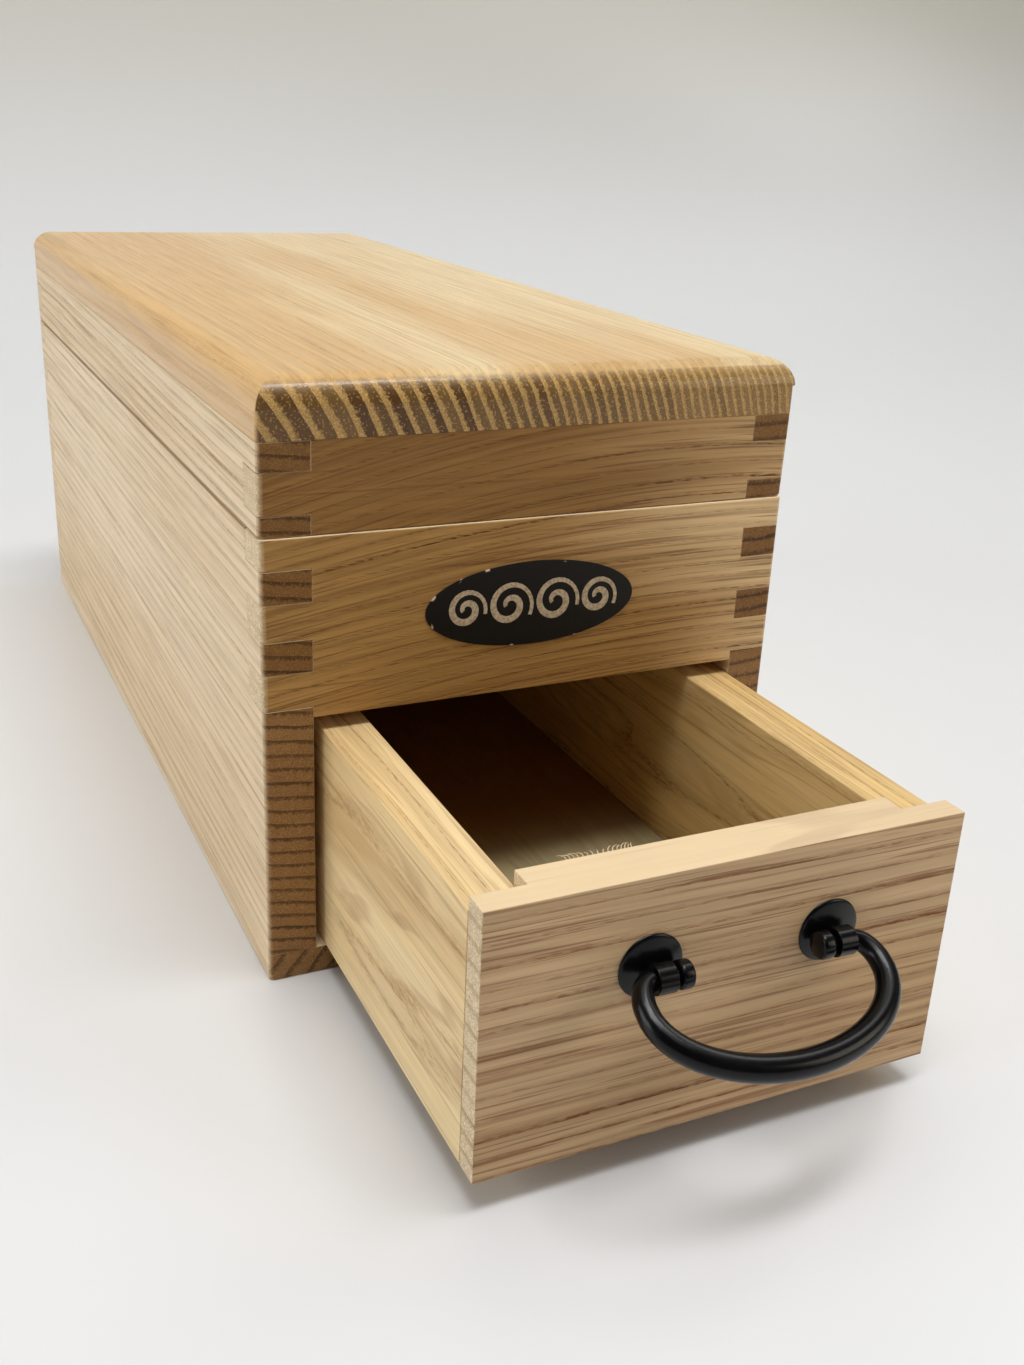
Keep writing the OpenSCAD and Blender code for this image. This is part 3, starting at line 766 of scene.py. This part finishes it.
def blade_steel():
    """Forged iron with a bright ground bevel next to the cutting edge."""
    material, tree, shader = new_material("blade_steel")
    low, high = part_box("plane_iron")
    place, normal = object_place(tree, (0, low.y, high.z))
    scale = noise(tree, place, (160, 160, 160), 3.0, 0.6)
    scratch = noise(tree, place, (60, 2600, 60), 1.0)
    upper = ramp(tree, vector(tree, "DOT_PRODUCT", normal, (0, 0, 1)), 0.35, 0.9)
    bevelled = ramp(tree, vector(tree, "DOT_PRODUCT", normal, (0, -0.9, -0.4)), 0.8, 0.95)
    ground = number(tree, "MAXIMUM", upper, bevelled)
    tree.links.new(blend_colours(tree, ground, (0.055, 0.052, 0.05, 1), (0.62, 0.62, 0.63, 1)),
                   shader.inputs["Base Color"])
    shader.inputs["Metallic"].default_value = 1.0
    rough = number(tree, "MULTIPLY_ADD", ramp(tree, scratch, 0.3, 0.7), 0.08, ramp(tree, ground, 0, 1, 0.5, 0.2))
    tree.links.new(rough, shader.inputs["Roughness"])
    bump(tree, shader, scale, 0.1 * MM, 0.4)
    return material


def nail_steel():
    material, tree, shader = new_material("nail_steel")
    place, _ = object_place(tree)
    dull = noise(tree, place, (700, 700, 700), 3.0)
    tree.links.new(blend_colours(tree, dull, (0.45, 0.45, 0.46, 1), (0.30, 0.29, 0.28, 1)), shader.inputs["Base Color"])
    shader.inputs["Metallic"].default_value = 1.0
    tree.links.new(ramp(tree, dull, 0.3, 0.7, 0.3, 0.5), shader.inputs["Roughness"])
    bump(tree, shader, dull, 0.02 * MM, 0.3)
    return material


def make_plane():
    bm = board_from("plane_block")
    ease_edges(bm, 0.6 * MM, 2)
    make_piece("plane_block_wood", bm, oak(), "plane", "oak", "plane_block")
    bm = board_from("plane_iron")
    ease_edges(bm, 0.12 * MM, 1)
    make_piece("plane_iron_blade", bm, blade_steel(), "iron", "iron_blade", "plane_iron")


def make_nails():
    """Nails and brads, with their heads just out of the wood: downwards below, inwards on the rails."""
    steel = nail_steel()
    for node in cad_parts:
        if "nail" not in node and "brad" not in node:
            continue
        body = "drawer" if node.startswith("drawer") else "case"
        low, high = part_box(node)
        inwards = Vector((-1 if low.x + high.x > 0 else 1, 0, 0))
        proud = inwards if node.startswith("rail") else Vector((0, 0, -1))
        bm = board_from(node)
        ease_edges(bm, 0.2 * MM, 2, angle=60)
        bm.transform(Matrix.Translation(proud * HEAD_PROUD))
        make_piece(node + "_steel", bm, steel, body, "nail_steel", node)


# ---------------------------------------------------------------- studio

def white_table():
    material, tree, shader = new_material("white_table")
    place, _ = object_place(tree)
    split = tree.nodes.new("ShaderNodeSeparateXYZ")
    tree.links.new(place, split.inputs[0])
    # Painted shade: the sweep goes from near white to grey beige as it rises, for a backdrop getting less light higher
    # up.
    height = ramp(tree, split.outputs["Z"], 0.0, 0.32)
    tree.links.new(blend_colours(tree, height, (0.768, 0.780, 0.805, 1), (0.53, 0.515, 0.455, 1)),
                   shader.inputs["Base Color"])
    shader.inputs["Roughness"].default_value = 0.3
    shader.inputs["Specular IOR Level"].default_value = 0.35
    return material


def set_stage(name, bm, material):
    mesh = bpy.data.meshes.new(name)
    bm.to_mesh(mesh)
    bm.free()
    for face in mesh.polygons:
        face.use_smooth = True
    mesh.materials.append(material)
    sheet = bpy.data.objects.new(name, mesh)
    bpy.context.scene.collection.objects.link(sheet)
    return sheet


def make_floor(material):
    """A white table that sweeps up into a backdrop."""
    bm = bmesh.new()
    front = bm.edges.new((bm.verts.new((-3, -3, 0)), bm.verts.new((3, -3, 0))))
    out = bmesh.ops.extrude_edge_only(bm, edges=[front])
    moved = made_verts(out)
    bmesh.ops.translate(bm, verts=moved, vec=(0, 3.45, 0))
    back = next(e for e in out["geom"] if isinstance(e, bmesh.types.BMEdge) and all(v in moved for v in e.verts))
    bmesh.ops.spin(bm, geom=[back, *back.verts], cent=(0, 0.45, 0.5), axis=(1, 0, 0), angle=math.radians(90),
                   steps=24, use_merge=False, use_duplicate=False)
    top = [e for e in bm.edges if all(abs(v.co.y - 0.95) < 1e-4 for v in e.verts)]
    out = bmesh.ops.extrude_edge_only(bm, edges=top)
    bmesh.ops.translate(bm, verts=made_verts(out), vec=(0, 0, 2))
    bmesh.ops.translate(bm, verts=bm.verts, vec=(0, 0, -0.1 * MM))
    bmesh.ops.recalc_face_normals(bm, faces=bm.faces)
    if bm.faces[:][0].normal.z < 0:
        bmesh.ops.reverse_faces(bm, faces=bm.faces)
    set_stage("table_sweep", bm, material)


def make_walls(material):
    """The sweep carried on round the other three sides, seen by the camera but not lighting the box."""
    bm = bmesh.new()
    bmesh.ops.create_cube(bm, size=1.0)
    bm.transform(Matrix.Translation((0, -0.525, 1.25)) @ Matrix.Diagonal((3.6, 2.952, 2.5, 1)))
    bmesh.ops.delete(bm, geom=[f for f in bm.faces if f.normal.z > 0.9], context="FACES_ONLY")
    bevel(bm, [e for e in bm.edges if not e.is_boundary], 0.5, 16)
    bmesh.ops.delete(bm, geom=[f for f in bm.faces if f.normal.z < -0.999], context="FACES_ONLY")
    bmesh.ops.reverse_faces(bm, faces=bm.faces)
    bmesh.ops.translate(bm, verts=bm.verts, vec=(0, 0, 0.02 * MM))
    walls = set_stage("sweep_walls", bm, material)
    walls.visible_diffuse = False
    walls.visible_glossy = False
    walls.visible_transmission = False
    walls.visible_shadow = False


def area_light(name, place, target, size, power, colour):
    data = bpy.data.lights.new(name, "AREA")
    data.shape = "RECTANGLE"
    data.size, data.size_y = size
    data.energy = power
    data.color = colour
    light = bpy.data.objects.new(name, data)
    bpy.context.scene.collection.objects.link(light)
    light.location = place
    light.rotation_mode = "QUATERNION"
    light.rotation_quaternion = (Vector(target) - Vector(place)).to_track_quat("-Z", "Y")


def light_studio():
    area_light("key", (0.05, -0.40, 1.62), (0, -0.1, 0.08), (1.1, 0.35), 13.4, (1.0, 0.995, 0.98))
    area_light("ceiling", (0.1, -0.1, 1.8), (0, 0, 0), (2.0, 1.6), 12.0, (1.0, 1.0, 0.995))
    area_light("left_window", (-1.5, 0.1, 0.5), (0, -0.05, 0.06), (1.2, 0.8), 9.8, (1.0, 0.995, 0.985))
    area_light("right_window", (0.6, -0.7, 0.35), (0.05, -0.15, 0.06), (0.4, 0.4), 1.5, (1.0, 0.92, 0.80))
    area_light("back_lift", (1.35, 0.3, 1.3), (1.05, 0.7, 0.1), (1.2, 0.5), 5.6, (1.0, 1.0, 1.0))
    world = bpy.data.worlds.new("soft_room")
    bpy.context.scene.world = world
    world.use_nodes = True
    tree = world.node_tree
    sky = tree.nodes["Background"]
    coordinates = tree.nodes.new("ShaderNodeTexCoord")
    split = tree.nodes.new("ShaderNodeSeparateXYZ")
    tree.links.new(coordinates.outputs["Generated"], split.inputs[0])
    behind = ramp(tree, split.outputs["Y"], -0.6, 0.3)
    light = blend_colours(tree, behind, (0.042, 0.030, 0.019, 1), (0.165, 0.165, 0.162, 1))
    path = tree.nodes.new("ShaderNodeLightPath")
    tree.links.new(blend_colours(tree, path.outputs["Is Camera Ray"], light, (0.60, 0.59, 0.565, 1)),
                   sky.inputs["Color"])


def make_camera():
    data = bpy.data.cameras.new("camera")
    data.sensor_width = 36.0
    data.lens = 37.23
    data.clip_start = 0.01
    camera = bpy.data.objects.new("camera", data)
    bpy.context.scene.collection.objects.link(camera)
    azimuth, elevation, roll = math.radians(25.98), math.radians(-22.25), math.radians(2.65)
    forward = Vector((math.sin(azimuth) * math.cos(elevation), math.cos(azimuth) * math.cos(elevation),
                      math.sin(elevation)))
    right = forward.cross(Vector((0, 0, 1))).normalized()
    up = right.cross(forward)
    right, up = right * math.cos(roll) + up * math.sin(roll), up * math.cos(roll) - right * math.sin(roll)
    turn = Matrix((right, up, -forward)).transposed().to_4x4()
    camera.matrix_world = Matrix.Translation((-0.12831, -0.39717, 0.17749)) @ turn
    bpy.context.scene.camera = camera


make_camera()
table = white_table()
make_floor(table)
make_walls(table)
light_studio()
make_case()
make_lid()
make_drawer()
make_fibres()
for side in ("left", "right"):
    make_rosette(side)
    make_eye_pin(side)
make_bail()
make_label()
make_label_print()
make_plane()
make_nails()
bpy.context.scene.view_settings.view_transform = "Standard"
